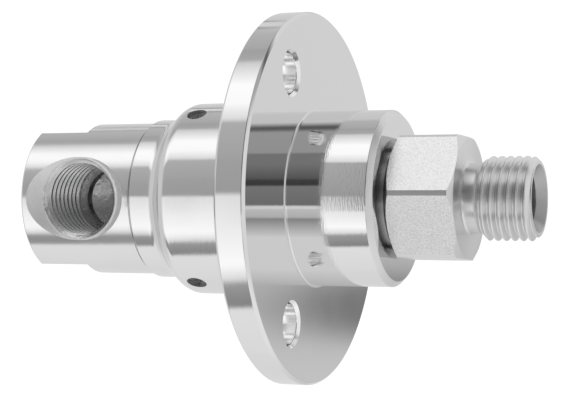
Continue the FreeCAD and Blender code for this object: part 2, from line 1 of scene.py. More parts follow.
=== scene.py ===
"""Studio view of a hydraulic rotary union with a mounting flange.

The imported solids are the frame. The outer pieces get finer meshes that stand for their solids, and
the inner pieces keep their solids' meshes and get their finishes. Sizes in the classes are in
millimetres, meshes are in metres. X is the axis of rotation and points at the outlet, -Y is the way
out of the inlet port, and +Z is up.
"""

import logging
import math
from dataclasses import dataclass
from enum import Enum
from typing import Any, Callable, Iterable, Sequence

import bmesh
import bpy
import numpy as np
from mathutils import Matrix, Vector

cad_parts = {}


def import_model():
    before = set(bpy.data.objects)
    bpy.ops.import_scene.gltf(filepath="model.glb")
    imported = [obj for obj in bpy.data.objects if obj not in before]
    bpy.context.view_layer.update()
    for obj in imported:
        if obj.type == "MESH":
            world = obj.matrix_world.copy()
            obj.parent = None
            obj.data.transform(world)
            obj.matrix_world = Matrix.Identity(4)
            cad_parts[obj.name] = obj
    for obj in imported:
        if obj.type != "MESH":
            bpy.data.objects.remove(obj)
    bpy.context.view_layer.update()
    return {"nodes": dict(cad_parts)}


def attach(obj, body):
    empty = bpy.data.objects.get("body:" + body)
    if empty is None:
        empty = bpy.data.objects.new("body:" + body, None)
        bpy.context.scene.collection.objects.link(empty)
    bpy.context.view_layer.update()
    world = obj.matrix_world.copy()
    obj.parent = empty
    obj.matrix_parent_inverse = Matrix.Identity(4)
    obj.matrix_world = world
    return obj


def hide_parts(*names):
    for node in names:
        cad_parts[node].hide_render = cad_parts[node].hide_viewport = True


LOG = logging.getLogger("rotary_union")
MM = 0.001
# How many finishes a piece may have.
PAINTS = 5
# A cutting tool starts this far outside the metal, in millimetres.
CLEAR = 1.0
Tree = bpy.types.NodeTree
Obj = bpy.types.Object


class Body(Enum):
    """What each piece moves with."""

    HOUSING = "housing"
    SHAFT = "shaft"


class Cut(Enum):
    """How one mesh works on another."""

    TAKE_AWAY = "DIFFERENCE"
    KEEP_SHARED = "INTERSECT"
    JOIN = "UNION"


def decoded(part: float) -> float:
    """One sRGB channel from 0 to 1 as linear light."""
    return part / 12.92 if part <= 0.04045 else ((part + 0.055) / 1.055) ** 2.4


def linear(hex_colour: str) -> tuple[float, float, float, float]:
    """Turn an sRGB hex colour to linear light.

    Args:
        hex_colour: six hex digits with or without a leading mark.

    Returns:
        Red, green, blue and an alpha of one.
    """
    digits = hex_colour.lstrip("#")
    red, green, blue = (decoded(int(digits[at:at + 2], 16) / 255) for at in (0, 2, 4))
    return red, green, blue, 1.0


def add_node(tree: Tree, kind: str, inputs: dict[Any, Any] | None = None, **settings: Any) -> Any:
    """Add a shader node, set it up and link it.

    Args:
        tree: the node tree that gets the node.
        kind: the node's type.
        inputs: for each input, by name or place, the socket or node that feeds it, or its value. A
            node feeds its first output.
        settings: the node's own settings.

    Returns:
        The new node.
    """
    node = tree.nodes.new(kind)
    for name, value in settings.items():
        setattr(node, name, value)
    for name, value in (inputs or {}).items():
        if isinstance(value, bpy.types.Node):
            value = value.outputs[0]
        if isinstance(value, bpy.types.NodeSocket):
            tree.links.new(value, node.inputs[name])
        else:
            node.inputs[name].default_value = value
    return node


def angle_about_x(tree: Tree, parts: Any) -> Any:
    """A node with the angle above -Y about the X axis in radians, from separate X, Y and Z."""
    towards = add_node(tree, "ShaderNodeMath", {0: parts.outputs["Y"], 1: -1.0}, operation="MULTIPLY")
    return add_node(tree, "ShaderNodeMath", {0: parts.outputs["Z"], 1: towards}, operation="ARCTAN2")


@dataclass(frozen=True)
class Fade:
    """A change from low to high while something else goes from start to end."""

    start: float
    end: float
    low: float = 0.0
    high: float = 1.0

    def of(self, source: Any) -> dict[str, Any]:
        """The inputs of a node that makes the change."""
        return {"Value": source, "From Min": self.start, "From Max": self.end,
                "To Min": self.low, "To Max": self.high}


def softened(corners: Iterable[Sequence[float]], steps: int = 4) -> list[tuple[float, float]]:
    """Round the corners of a closed outline.

    Args:
        corners: (x, radius) of a sharp corner, or (x, radius, size of its round).
        steps: how many short lines make one round.

    Returns:
        The outline's points in order.
    """
    spots = [(c[0], c[1], c[2] if len(c) > 2 else 0.0) for c in corners]
    outline: list[tuple[float, float]] = []
    for place, (x, r, size) in enumerate(spots):
        here = Vector((x, r))
        if size <= 0:
            outline.append((x, r))
            continue
        before = Vector(spots[place - 1][:2]) - here
        after = Vector(spots[(place + 1) % len(spots)][:2]) - here
        # A round takes less than half of each side, so two of them never meet.
        reach = min(size, 0.45 * before.length, 0.45 * after.length)
        start, end = here + before.normalized() * reach, here + after.normalized() * reach
        for step in range(steps + 1):
            share = step / steps
            spot = start * (1 - share) ** 2 + here * 2 * share * (1 - share) + end * share ** 2
            outline.append((spot.x, spot.y))
    return outline


def arc(x: float, r: float, radius: float, start: float, end: float,
        steps: int = 8) -> list[tuple[float, float]]:
    """Points on an arc round (x, r) between two angles in degrees."""
    angles = [math.radians(start + (end - start) * step / steps) for step in range(steps + 1)]
    return [(x + radius * math.cos(angle), r + radius * math.sin(angle)) for angle in angles]


def plain_bar(rear: float, front: float, radius: float) -> list[tuple[float, float]]:
    """The outline of a bar from the axis out."""
    return [(rear, 0.0), (front, 0.0), (front, radius), (rear, radius)]


def groove(span: tuple[float, float], wall: float, floor: float) -> list[tuple[float, float]]:
    """The corners of a groove in a wall, from one end of its span to the other."""
    return [(span[0], wall), (span[0], floor), (span[1], floor), (span[1], wall)]


def new_object(name: str, build: bmesh.types.BMesh) -> Obj:
    """Put a finished build into a new object of the scene, with free places for its finishes.

    Args:
        name: the object's and its mesh's name.
        build: the mesh, which is used up.

    Returns:
        The new object.
    """
    mesh = bpy.data.meshes.new(name)
    build.to_mesh(mesh)
    build.free()
    for _ in range(PAINTS):
        mesh.materials.append(None)
    thing = bpy.data.objects.new(name, mesh)
    bpy.context.scene.collection.objects.link(thing)
    return thing


def ring_of_corners(build: bmesh.types.BMesh, x: float, r: float, segments: int,
                    turn: float = 0.0, advance: float = 0.0) -> list[bmesh.types.BMVert]:
    """Corners once round the X axis.

    Args:
        build: the mesh that gets them.
        x: the first corner's station in millimetres.
        r: their radius in millimetres.
        segments: how many there are.
        turn: degrees from -Y up to the first one.
        advance: how far a full turn moves along the axis in millimetres.

    Returns:
        The corners in order.
    """
    ring = []
    for step in range(segments):
        angle = math.radians(turn + 360 / segments * step)
        along = x + advance * step / segments
        ring.append(build.verts.new((along * MM, -r * math.cos(angle) * MM, r * math.sin(angle) * MM)))
    return ring


def turned(name: str, outline: Sequence[tuple[float, float]], segments: int = 192,
           turn: float = 0.0, paint: int = 0) -> Obj:
    """Turn a closed outline about the X axis.

    Args:
        name: the new object's name.
        outline: points (x, radius) in millimetres, in order.
        segments: flats round the axis.
        turn: degrees from -Y up to the first flat's edge.
        paint: which of its finishes the piece's faces get.

    Returns:
        The turned piece.
    """
    build = bmesh.new()
    rings = [ring_of_corners(build, x, r, segments, turn) for x, r in outline]
    for place, ring in enumerate(rings):
        after = rings[(place + 1) % len(rings)]
        if outline[place][1] <= 0 and outline[(place + 1) % len(rings)][1] <= 0:
            continue
        for step in range(segments):
            nxt = (step + 1) % segments
            build.faces.new((ring[step], ring[nxt], after[nxt], after[step])).material_index = paint
    bmesh.ops.remove_doubles(build, verts=build.verts, dist=1e-8)
    bmesh.ops.dissolve_degenerate(build, edges=build.edges, dist=1e-8)
    bmesh.ops.recalc_face_normals(build, faces=build.faces)
    return new_object(name, build)


@dataclass(frozen=True)
class PipeThread:
    """The G 1/4 pipe thread that both ports share."""

    major: float = 6.5785
    depth: float = 0.856
    pitch: float = 1.337
    round: float = 0.1836
    round_angle: float = 62.5

    def form(self) -> list[tuple[float, float]]:
        """One pitch of the thread from the middle of a root.

        Returns:
            Steps along the axis and radii in millimetres.
        """
        low, high, swing = self.major - self.depth + self.round, self.major - self.round, self.round_angle
        return [
            *arc(0.0, low, self.round, 270, 270 + swing, 3),
            *arc(self.pitch / 2, high, self.round, 90 + swing, 90 - swing, 6),
            *arc(self.pitch, low, self.round, 270 - swing, 270, 3)[:-1],
        ]

    def bar(self, name: str, start: float, end: float, segments: int = 96, paint: int = 0) -> Obj:
        """A threaded bar about the X axis that reaches past both stations.

        Args:
            name: the new object's name.
            start: the station where a root meets -Y.
            end: the station that the bar reaches.
            segments: steps in one turn.
            paint: which of its finishes the bar's faces get.

        Returns:
            A closed helical bar, to be trimmed by another mesh.
        """
        form = self.form()
        turns = math.ceil((end - start) / self.pitch) + 3
        rows = [(start + (turn - 2) * self.pitch + x, r) for turn in range(turns) for x, r in form]
        build = bmesh.new()
        grid = [ring_of_corners(build, x, r, segments, advance=self.pitch) for x, r in rows]
        span = len(form)
        for place in range(len(rows) - 1):
            low, high = grid[place], grid[place + 1]
            for step in range(segments - 1):
                build.faces.new((low[step], low[step + 1], high[step + 1], high[step]))
            if place + 1 + span < len(rows):
                build.faces.new((low[-1], grid[place + span][0], grid[place + 1 + span][0], high[-1]))
        for side, reach in ((0, -2.0), (1, 2.0)):
            self._close(build, grid, span, side, reach)
        bmesh.ops.recalc_face_normals(build, faces=build.faces)
        for face in build.faces:
            face.material_index = paint
        return new_object(name, build)

    @staticmethod
    def _close(build: bmesh.types.BMesh, grid: list[list[Any]], span: int, side: int,
               reach: float) -> None:
        """Close one end of the bar with a fan to a point on the axis.

        Args:
            build: the bar's mesh.
            grid: its rows of corners, each once round the axis.
            span: how many rows make one pitch.
            side: 0 for the low end, 1 for the high end.
            reach: how far past the rim's middle the point is, in millimetres.
        """
        if side == 0:
            rim = list(grid[0]) + [grid[place][0] for place in range(span, 0, -1)]
        else:
            last = len(grid) - 1
            rim = list(grid[last]) + [grid[place][-1] for place in range(last - 1, last - span - 1, -1)]
        middle = sum((spot.co.x for spot in rim)) / len(rim)
        tip = build.verts.new((middle + reach * MM, 0.0, 0.0))
        for place, spot in enumerate(rim):
            build.faces.new((spot, rim[(place + 1) % len(rim)], tip))


def apply_modifiers(thing: Obj) -> None:
    """Keep what a piece's modifiers make of its mesh, and drop them.

    Args:
        thing: the piece.
    """
    view = bpy.context.evaluated_depsgraph_get()
    result = bpy.data.meshes.new_from_object(thing.evaluated_get(view))
    thing.modifiers.clear()
    old = thing.data
    thing.data = result
    result.name = thing.name
    bpy.data.meshes.remove(old)


def combine(target: Obj, tool: Obj, cut: Cut) -> Obj:
    """Work one mesh on another and drop the tool.

    Args:
        target: the piece that changes.
        tool: the mesh that works on it.
        cut: what the tool does.

    Returns:
        The changed piece.
    """
    step = target.modifiers.new("cut", "BOOLEAN")
    step.operation = cut.value
    step.solver = "EXACT"
    step.object = tool
    apply_modifiers(target)
    bpy.data.meshes.remove(tool.data)
    return target


def placed(thing: Obj, matrix: Matrix) -> Obj:
    """Move a mesh by a matrix whose shift is in millimetres, and keep its object at the origin."""
    shift = Matrix.Translation(matrix.translation * MM)
    thing.data.transform(shift @ matrix.to_3x3().to_4x4())
    return thing


def screw_place(station: float, number: int, count: int) -> Matrix:
    """Where one of the evenly spaced set screws points out of the housing.

    Args:
        station: the screws' station in millimetres.
        number: which screw, with the first opposite the port.
        count: how many there are.

    Returns:
        The place of a piece that was made along the X axis.
    """
    around = Matrix.Rotation(math.radians(-180 - 360 / count * number), 4, "X")
    return Matrix.Translation((station, 0, 0)) @ around @ Matrix.Rotation(math.radians(-90), 4, "Z")


def numbers(source: Any, name: str, width: int) -> np.ndarray:
    """One named value of each item in a mesh's list.

    Args:
        source: the mesh's list.
        name: the value's name.
        width: how many numbers each item has.

    Returns:
        A row of that width for each item.
    """
    found = np.zeros(len(source) * width)
    source.foreach_get(name, found)
    return found.reshape(-1, width)


def polish(thing: Obj, sharp: float = 28.0) -> Obj:
    """Give a mesh smooth shading that leaves flat faces flat and makes turned ones truly round.

    The large faces give the direction at a shared corner, so small rounds don't bend a mirror.
    Then the corners of turned faces, which have the first paint, point straight away from the axis.

    Args:
        thing: the piece.
        sharp: edges that turn by more degrees than this stay sharp.

    Returns:
        The piece.
    """
    thing.data.validate()
    thing.data.polygons.foreach_set("use_smooth", [True] * len(thing.data.polygons))
    thing.data.set_sharp_from_angle(angle=math.radians(sharp))
    step = thing.modifiers.new("weights", "WEIGHTED_NORMAL")
    step.mode = "FACE_AREA"
    step.weight = 100
    step.keep_sharp = True
    apply_modifiers(thing)
    mesh = thing.data
    normals = numbers(mesh.corner_normals, "vector", 3)
    spots = numbers(mesh.vertices, "co", 3)
    corner = numbers(mesh.loops, "vertex_index", 1)[:, 0].astype(int)
    total = numbers(mesh.polygons, "loop_total", 1)[:, 0].astype(int)
    paint = numbers(mesh.polygons, "material_index", 1)[:, 0]
    flat = numbers(mesh.polygons, "normal", 3)[:, 1:]
    owner = np.repeat(np.arange(len(total)), total)
    away = np.linalg.norm(flat, axis=1)
    flat = flat / np.maximum(away, 1e-9)[:, None]
    radial = spots[corner, 1:]
    far = np.linalg.norm(radial, axis=1)
    radial = radial / np.maximum(far, 1e-9)[:, None]
    slip = np.abs(flat[owner, 0] * radial[:, 1] - flat[owner, 1] * radial[:, 0])
    worst = np.zeros(len(total))
    np.maximum.at(worst, owner, slip)
    # A turned face's normal lies in a plane through the axis at every corner, within some degrees.
    is_turned = (worst < 0.07) & (away > 0.05) & (paint == 0)
    use = is_turned[owner] & (far > 1e-6)
    side = np.sign(np.sum(normals[:, 1:] * radial, axis=1))
    size = np.sqrt(np.maximum(1 - normals[:, 0] ** 2, 0)) * side
    normals[use, 1:] = (radial * size[:, None])[use]
    mesh.normals_split_custom_set(normals.tolist())
    return thing


def paint_where(thing: Obj, paint: int, test: Callable[[float, float], bool]) -> None:
    """Give another finish to the faces with the first one that pass a test.

    Args:
        thing: the piece.
        paint: the finish that they get.
        test: says yes or no to a face's station and its distance from the axis, in millimetres.
    """
    for face in thing.data.polygons:
        far = math.hypot(face.center.y, face.center.z) / MM
        if face.material_index == 0 and test(face.center.x / MM, far):
            face.material_index = paint


@dataclass(frozen=True)
class TurnedSteel:
    """Stainless steel off the lathe: each groove of the feed mirrors the room a little apart.

    feed, depth and patch are in millimetres: one groove's width, its height, and the dull or bright
    patches that handling leaves. station and swing give the lathe's axis: where it crosses the X
    axis in millimetres, and how far it is turned from it in degrees.
    """

    name: str
    colour: str = "#e2e2e2"
    metallic: float = 1.0
    roughness: float = 0.14
    stretch: float = 0.6
    feed: float = 0.2
    depth: float = 0.006
    blotch: float = 0.03
    patch: float = 6.0
    chatter: float = 0.0019
    station: float = 0.0
    swing: float = 0.0

    def grooves(self, tree: Tree) -> Any:
        """A height that changes across the grooves and hardly along them.

        Args:
            tree: the material's tree.

        Returns:
            The height's socket.
        """
        place = add_node(tree, "ShaderNodeTexCoord").outputs["Object"]
        if self.swing:
            place = add_node(tree, "ShaderNodeMapping", {
                "Vector": place, "Location": (self.station * MM, 0, 0),
                "Rotation": (0, 0, math.radians(self.swing))}, vector_type="TEXTURE")
        parts = add_node(tree, "ShaderNodeSeparateXYZ", {0: place})
        flat = add_node(tree, "ShaderNodeCombineXYZ", {"Y": parts.outputs["Y"], "Z": parts.outputs["Z"]})
        radius = add_node(tree, "ShaderNodeVectorMath", {0: flat}, operation="LENGTH")
        # The tool's edge wears and chatters, so a groove changes every one or two millimetres.
        slow = add_node(tree, "ShaderNodeMath", {0: angle_about_x(tree, parts), 1: self.chatter},
                        operation="MULTIPLY")
        lathe = add_node(tree, "ShaderNodeCombineXYZ", {
            "X": parts.outputs["X"], "Y": radius.outputs["Value"], "Z": slow})
        # One turn of the feed is one groove. The real feed of about 0.08 mm would be finer than the
        # picture's dots, so this one is coarser.
        return add_node(tree, "ShaderNodeTexNoise", {
            "Vector": lathe, "Scale": 1 / (self.feed * MM), "Detail": 2.0,
            "Roughness": 0.6}).outputs["Fac"]

    def build(self) -> bpy.types.Material:
        """Make the material.

        Returns:
            The finish, with grooves that run round its axis.
        """
        material = bpy.data.materials.new(self.name)
        material.use_nodes = True
        tree = material.node_tree
        shader = tree.nodes["Principled BSDF"]
        shader.inputs["Base Color"].default_value = linear(self.colour)
        shader.inputs["Metallic"].default_value = self.metallic
        bump = add_node(tree, "ShaderNodeBump", {
            "Strength": 1.0, "Distance": self.depth * MM, "Height": self.grooves(tree)})
        tree.links.new(bump.outputs[0], shader.inputs["Normal"])
        # Handling and polishing leave dull and bright patches.
        place = add_node(tree, "ShaderNodeTexCoord")
        patches = add_node(tree, "ShaderNodeTexNoise", {
            "Vector": place.outputs["Object"], "Scale": 1 / (self.patch * MM), "Detail": 3.0})
        dulling = Fade(0.3, 0.7, max(self.roughness - self.blotch, 0.02), self.roughness + self.blotch)
        haze = add_node(tree, "ShaderNodeMapRange", dulling.of(patches.outputs["Fac"]))
        tree.links.new(haze.outputs[0], shader.inputs["Roughness"])
        if self.stretch > 0:
            # A quarter turn lays the gloss across the grooves.
            shader.inputs["Anisotropic"].default_value = self.stretch
            shader.inputs["Anisotropic Rotation"].default_value = 0.25
            tangent = add_node(tree, "ShaderNodeTangent", direction_type="RADIAL", axis="X")
            tree.links.new(tangent.outputs[0], shader.inputs["Tangent"])
        return material


@dataclass(frozen=True)
class GrainedMetal:
    """A fine grain, such as a milled, tumbled, phosphated or moulded surface has.

    grain and depth are the grain's width and height in millimetres, drawn is how many times longer
    than wide it is along the X axis, and pitted is the colour of its low spots.
    """

    name: str
    colour: str = "#dcdcdc"
    metallic: float = 1.0
    roughness: float = 0.3
    grain: float = 0.12
    drawn: float = 1.0
    depth: float = 0.002
    spread: float = 0.08
    pitted: str | None = None

    def build(self) -> bpy.types.Material:
        """Make the material, with its low spots in the pitted colour if it has one.

        Returns:
            The finish.
        """
        material = bpy.data.materials.new(self.name)
        material.use_nodes = True
        tree = material.node_tree
        shader = tree.nodes["Principled BSDF"]
        shader.inputs["Base Color"].default_value = linear(self.colour)
        shader.inputs["Metallic"].default_value = self.metallic
        place = add_node(tree, "ShaderNodeTexCoord")
        drawn = add_node(tree, "ShaderNodeMapping", {
            "Vector": place.outputs["Object"], "Scale": (1 / self.drawn, 1.0, 1.0)})
        grain = add_node(tree, "ShaderNodeTexNoise", {
            "Vector": drawn, "Scale": 1 / (self.grain * MM), "Detail": 3.0,
            "Roughness": 0.65})
        bump = add_node(tree, "ShaderNodeBump", {
            "Strength": 1.0, "Distance": self.depth * MM, "Height": grain.outputs["Fac"]})
        dulling = Fade(0.25, 0.75, max(self.roughness - self.spread, 0.03),
                       self.roughness + self.spread)
        haze = add_node(tree, "ShaderNodeMapRange", dulling.of(grain.outputs["Fac"]))
        tree.links.new(haze.outputs[0], shader.inputs["Roughness"])
        tree.links.new(bump.outputs[0], shader.inputs["Normal"])
        if self.pitted:
            rise = add_node(tree, "ShaderNodeMapRange", Fade(0.35, 0.6).of(grain.outputs["Fac"]))
            speckle = add_node(tree, "ShaderNodeMix", {
                0: rise, 6: linear(self.pitted), 7: linear(self.colour)}, data_type="RGBA")
            tree.links.new(speckle.outputs[2], shader.inputs["Base Color"])
        return material


def show(piece: Obj, body: Body, nodes: Sequence[str],
         finishes: Sequence[TurnedSteel | GrainedMetal]) -> None:
    """Put a finished piece in place of its solid.

    Args:
        piece: the mesh that shows.
        body: what it moves with.
        nodes: the solids that it stands for.
        finishes: its materials, in the order of its faces' paints.
    """
    for paint, finish in enumerate(finishes):
        piece.data.materials[paint] = finish.build()
    while len(piece.data.materials) > len(finishes):
        piece.data.materials.pop()
    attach(piece, body.value)
    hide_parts(*nodes)
    LOG.info("%s rides on %s with %d faces", piece.name, body.value, len(piece.data.polygons))


@dataclass
class InletHead:
    """The fixed head with its wrench flats, side port and seal spigot."""

    end: float = -47.7
    seam: float = -27.4
    relief: float = 0.42
    relief_depth: float = 0.5
    fine_round: float = 0.05
    radius: float = 12.6
    edge: float = 0.3
    edge_round: float = 0.12
    flats: float = 11.0
    flats_length: float = 9.05
    port: float = -37.75
    port_mouth: float = -10.6
    port_thread_end: float = 1.4
    port_crest: float = 5.9025
    land: float = 0.3
    countersink: float = 3.0
    pilot: float = 5.0
    pilot_end: float = 3.0
    tip: float = 2.6
    ridge_lead: float = 1.2
    ridge_gap: float = 0.7
    ridge_outside: float = 8.0
    waterway: float = 4.0
    nose_seat: float = -23.5
    nose_bore: float = 5.65
    waterway_end: float = -23.0
    spigot: float = 10.3
    front: float = -15.0
    pocket: float = 8.5
    pocket_end: float = -21.2
    clip: tuple[float, float] = (-16.6, -15.6)
    clip_bore: float = 9.1
    oring: tuple[float, float] = (-24.1, -25.5)
    oring_depth: float = 1.0
    screws: float = -17.8
    screw_groove: float = 0.9
    cutter: float = 20.0
    thread: PipeThread = PipeThread()
    # Fine turning with a light polish: soft bands of light that fray at their edges.
    skin: TurnedSteel = TurnedSteel("satin_turned_stainless", roughness=0.17)
    # The countersink is bored with a blunt tool, which leaves it pale, with rings round its axis.
    bored: TurnedSteel = TurnedSteel("bored_stainless", colour="#f8f8f8", metallic=0.4,
                                     roughness=0.36, stretch=0.0, feed=0.3, depth=0.04,
                                     station=-37.75, swing=90.0)
    # The pilot bore and the waterway are drilled, which leaves them dull and mottled.
    drilled: GrainedMetal = GrainedMetal("drilled_head_stainless", colour="#d6d6d6", roughness=0.3,
                                         grain=1.4, depth=0.16)
    # Wrench flats straight from the milling cutter.
    milled: GrainedMetal = GrainedMetal("milled_flat_stainless", roughness=0.4, drawn=6.0)
    # The tap leaves a fairly bright thread.
    tapped: GrainedMetal = GrainedMetal("tapped_stainless", colour="#ececec", metallic=0.75,
                                        roughness=0.3)

    def blank(self) -> Obj:
        """The head as it leaves the lathe.

        Returns:
            The piece.
        """
        return turned("inlet_head_body", softened([
            (self.end, 0.0), (self.nose_seat, 0.0), (self.nose_seat, self.nose_bore),
            (self.pocket_end, self.nose_bore), (self.pocket_end, self.pocket),
            *groove(self.clip, self.pocket, self.clip_bore), (self.front, self.pocket),
            (self.front, self.spigot),
            (self.screws + self.screw_groove, self.spigot),
            (self.screws, self.spigot - self.screw_groove),
            (self.screws - self.screw_groove, self.spigot),
            *groove(self.oring, self.spigot, self.spigot - self.oring_depth),
            (self.seam, self.spigot),
            (self.seam, self.radius - self.relief_depth),
            (self.seam - self.relief, self.radius - self.relief_depth),
            (self.seam - self.relief, self.radius, self.fine_round),
            (self.end + self.edge, self.radius, self.edge_round),
            (self.end, self.radius - self.edge, self.edge_round),
        ]))

    def port_core(self) -> Obj:
        """The side port without its thread, about the X axis.

        Returns:
            A cutting tool.
        """
        mouth, end = self.port_mouth, self.port_thread_end
        rise = self.thread.major - self.port_crest
        wide = self.thread.major + self.land
        return turned("port_core", softened([
            (mouth - self.countersink, 0.0), (self.pilot_end + self.tip, 0.0),
            (self.pilot_end, self.pilot), (end, self.pilot), (end, self.port_crest),
            (mouth + rise, self.port_crest), (mouth, self.thread.major, self.fine_round),
            (mouth, wide, self.fine_round),
            (mouth - self.countersink, wide + self.countersink),
        ]), 128, paint=1)

    def port_thread(self) -> Obj:
        """The thread's ridges in the side port, about the X axis.

        Returns:
            A cutting tool.
        """
        start, end = self.port_mouth - self.ridge_lead, self.port_thread_end - self.ridge_gap
        bar = self.thread.bar("port_thread", self.port_mouth - self.thread.pitch / 2, end, paint=3)
        sleeve = turned("port_sleeve", [
            (start, 0.0), (end, 0.0), (end, self.pilot), (end - 0.5, self.ridge_outside),
            (start, self.ridge_outside)], 96, paint=3)
        return combine(bar, sleeve, Cut.KEEP_SHARED)

    def build(self) -> None:
        """Make, cut and dress the head."""
        head = self.blank()
        inwards = Matrix.Translation((self.port, 0, 0)) @ Matrix.Rotation(math.radians(90), 4, "Z")
        for tool in (self.port_core(), self.port_thread()):
            combine(head, placed(tool, inwards), Cut.TAKE_AWAY)
        bore = turned("waterway", plain_bar(self.port, self.waterway_end, self.waterway), 96, paint=1)
        combine(head, bore, Cut.TAKE_AWAY)
        # A square bar of this corner radius cuts each wrench flat.
        outline = plain_bar(self.end - CLEAR, self.end + self.flats_length, self.cutter)
        reach = self.cutter * math.cos(math.radians(45))
        for side in (1, -1):
            slab = turned("flat_cutter", outline, 4, 45, paint=2)
            placed(slab, Matrix.Translation((0, 0, side * (self.flats + reach))))
            combine(head, slab, Cut.TAKE_AWAY)
        # What lies deeper in the port than its thread's mouth is drilled.
        for face in head.data.polygons:
            if face.material_index == 1 and face.center.y > self.port_mouth * MM:
                face.material_index = 4
        polish(head)
        show(head, Body.HOUSING, ["inlet_head"],
             [self.skin, self.bored, self.milled, self.tapped, self.drilled])


@dataclass
class SealHousing:
    """The housing behind the flange, with its curved shoulder, collar and screw holes."""

    seam: float = -27.4
    seam_gap: float = 0.02
    collar_edge: float = 0.15
    collar_round: float = 0.04
    collar: float = 13.1
    shoulder_rear: float = -24.4
    shoulder_front: float = -19.6
    shoulder_round: float = 2.8
    shoulder_slope: float = 50.0
    radius: float = 15.7
    front: float = -5.0
    front_round: float = 0.08
    bore: float = 10.32
    counterbore: float = 13.92
    spigot_end: float = -14.4
    screws: float = -17.8
    screw_head: float = 15.12
    screw_radius: float = 2.0
    screw_mouth: float = 1.6
    screw_bevel: float = 0.06
    screw_count: int = 3
    # The same turning as the head's, polished a little more.
    skin: TurnedSteel = TurnedSteel("polished_turned_stainless", roughness=0.11)
    drilled: GrainedMetal = GrainedMetal("drilled_stainless", colour="#c8c8c8", roughness=0.35)

    def blank(self) -> Obj:
        """The housing as it leaves the lathe.

        Returns:
            The piece.
        """
        rear, size, slope = self.seam + self.seam_gap, self.shoulder_round, self.shoulder_slope
        return turned("seal_housing_body", softened([
            (rear, self.bore), (self.spigot_end, self.bore), (self.spigot_end, self.counterbore),
            (self.front, self.counterbore), (self.front, self.radius, self.front_round),
            *arc(self.shoulder_front, self.radius - size, size, 90, 90 + slope, 12),
            *arc(self.shoulder_rear, self.collar + size, size, 270 + slope, 270, 12),
            (self.seam + self.collar_edge, self.collar, self.collar_round),
            (rear, self.collar - self.collar_edge, self.collar_round),
        ]), 192)

    def build(self) -> None:
        """Make, drill and dress the housing."""
        housing = self.blank()
        bottom, top = self.bore - CLEAR, self.radius + CLEAR
        for number in range(self.screw_count):
            drill = turned("drill", [
                (bottom, 0.0), (top, 0.0), (top, self.screw_mouth + CLEAR + self.screw_bevel),
                (self.radius - self.screw_bevel, self.screw_mouth),
                (self.screw_head, self.screw_mouth), (self.screw_head, self.screw_radius),
                (bottom, self.screw_radius)], 64, paint=1)
            combine(housing, placed(drill, screw_place(self.screws, number, self.screw_count)),
                    Cut.TAKE_AWAY)
        polish(housing)
        show(housing, Body.HOUSING, ["seal_housing"], [self.skin, self.drilled])


